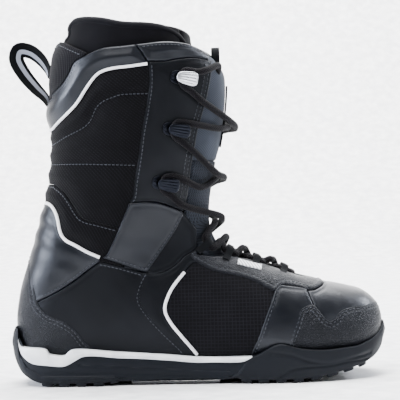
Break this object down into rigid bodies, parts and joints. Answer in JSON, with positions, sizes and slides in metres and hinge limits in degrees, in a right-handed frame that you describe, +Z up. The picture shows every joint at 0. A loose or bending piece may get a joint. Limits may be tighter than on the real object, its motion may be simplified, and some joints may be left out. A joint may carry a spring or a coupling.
{
  "type": "snowboard boot",
  "caption": "High-cut laced snowboard boot for the right foot: lugged rubber sole, stitched leather and mesh shell, padded liner, speed hooks and a heel pull loop.",
  "frame": {"origin": "on the ground under the middle of the boot's overall box", "axes": "+X towards the toes, +Y towards the inner side of the foot, +Z up"},
  "size_m": [0.312, 0.1278, 0.299],
  "materials": {
    "rubber": "moulded, matt",
    "foam_white": "moulded, satin",
    "foam_black": "moulded foam, matt",
    "nylon_plate": "moulded",
    "board": "pressed fibre board",
    "leather_grained": "fine grain, matt",
    "leather_smooth": "smooth, semi-gloss",
    "nubuck": "matt smooth",
    "mesh_fabric": "woven mesh",
    "woven_fabric": "fine cross weave",
    "liner_fabric": "brushed knit",
    "webbing": "ribbed webbing",
    "lace": "braided",
    "hook_dark": "gunmetal, ribbed",
    "hook_silver": "satin, ribbed"
  },
  "bodies": {
    "boot_lower": {"outsole_heel": "rubber", "outsole_forefoot": "rubber", "midsole": "foam_black", "midsole_frame": "foam_white", "arch_plate": "nylon_plate", "lasting_board": "board", "footbed": "foam_black", "toe_cap": "leather_grained", "vamp": "leather_smooth", "eyelet_stay": "leather_grained", "forefoot_strap_outer": "leather_smooth", "forefoot_strap_inner": "leather_smooth", "heel_counter": "leather_grained", "quarter_mesh_outer": "mesh_fabric", "quarter_mesh_inner": "mesh_fabric", "midfoot_panel_outer": "nubuck", "midfoot_panel_inner": "nubuck", "heel_quarter_outer": "nubuck", "heel_quarter_inner": "nubuck", "ankle_wrap": "leather_smooth", "ankle_flap_outer": "leather_smooth", "ankle_flap_inner": "leather_smooth", "ankle_gusset_outer": "nubuck", "ankle_gusset_inner": "nubuck", "cuff_flex_panel": "mesh_fabric", "liner_foot": "liner_fabric", "liner_flex_panel": "liner_fabric", "tongue_lower": "mesh_fabric", "lace_guide_1_outer": "webbing", "lace_guide_1_inner": "webbing", "lace_guide_2_outer": "webbing", "lace_guide_2_inner": "webbing", "lace_guide_3_outer": "webbing", "lace_guide_3_inner": "webbing", "lace_guide_4_outer": "webbing", "lace_guide_4_inner": "webbing", "lace_lower": "lace"},
    "cuff": {"cuff_body": "mesh_fabric", "cuff_facing_outer": "nubuck", "cuff_facing_inner": "nubuck", "collar_front_outer": "leather_smooth", "collar_front_inner": "leather_smooth", "collar_rear": "leather_smooth", "collar_gusset": "mesh_fabric", "lace_hook_1_outer": "hook_silver", "lace_hook_1_inner": "hook_silver", "lace_hook_2_outer": "hook_dark", "lace_hook_2_inner": "hook_dark", "lace_hook_3_outer": "hook_dark", "lace_hook_3_inner": "hook_dark", "liner_cuff": "liner_fabric", "liner_tongue": "liner_fabric", "heel_loop": "webbing", "lace_upper_outer": "lace", "lace_upper_inner": "lace"},
    "tongue": {"tongue_upper": "woven_fabric", "tongue_keeper": "webbing", "tongue_loop": "webbing"}
  },
  "joints": [
    {"name": "ankle_flex", "type": "hinge", "parent": "boot_lower", "child": "cuff", "pos_m": [-0.061, 0, 0.102], "axis": [0, 1, 0], "range_deg": [0, 12], "stiffness_Nm_per_rad": 60, "deforming": ["ankle_wrap", "ankle_flap_outer", "ankle_flap_inner", "ankle_gusset_outer", "ankle_gusset_inner", "cuff_flex_panel", "liner_flex_panel", "tongue_lower", "lace_lower"]},
    {"name": "tongue_tilt", "type": "hinge", "parent": "cuff", "child": "tongue", "pos_m": [0.022, 0, 0.1812], "axis": [0, 1, 0], "range_deg": [0, 15], "stiffness_Nm_per_rad": 2, "deforming": ["lace_upper_outer", "lace_upper_inner"]}
  ]
}
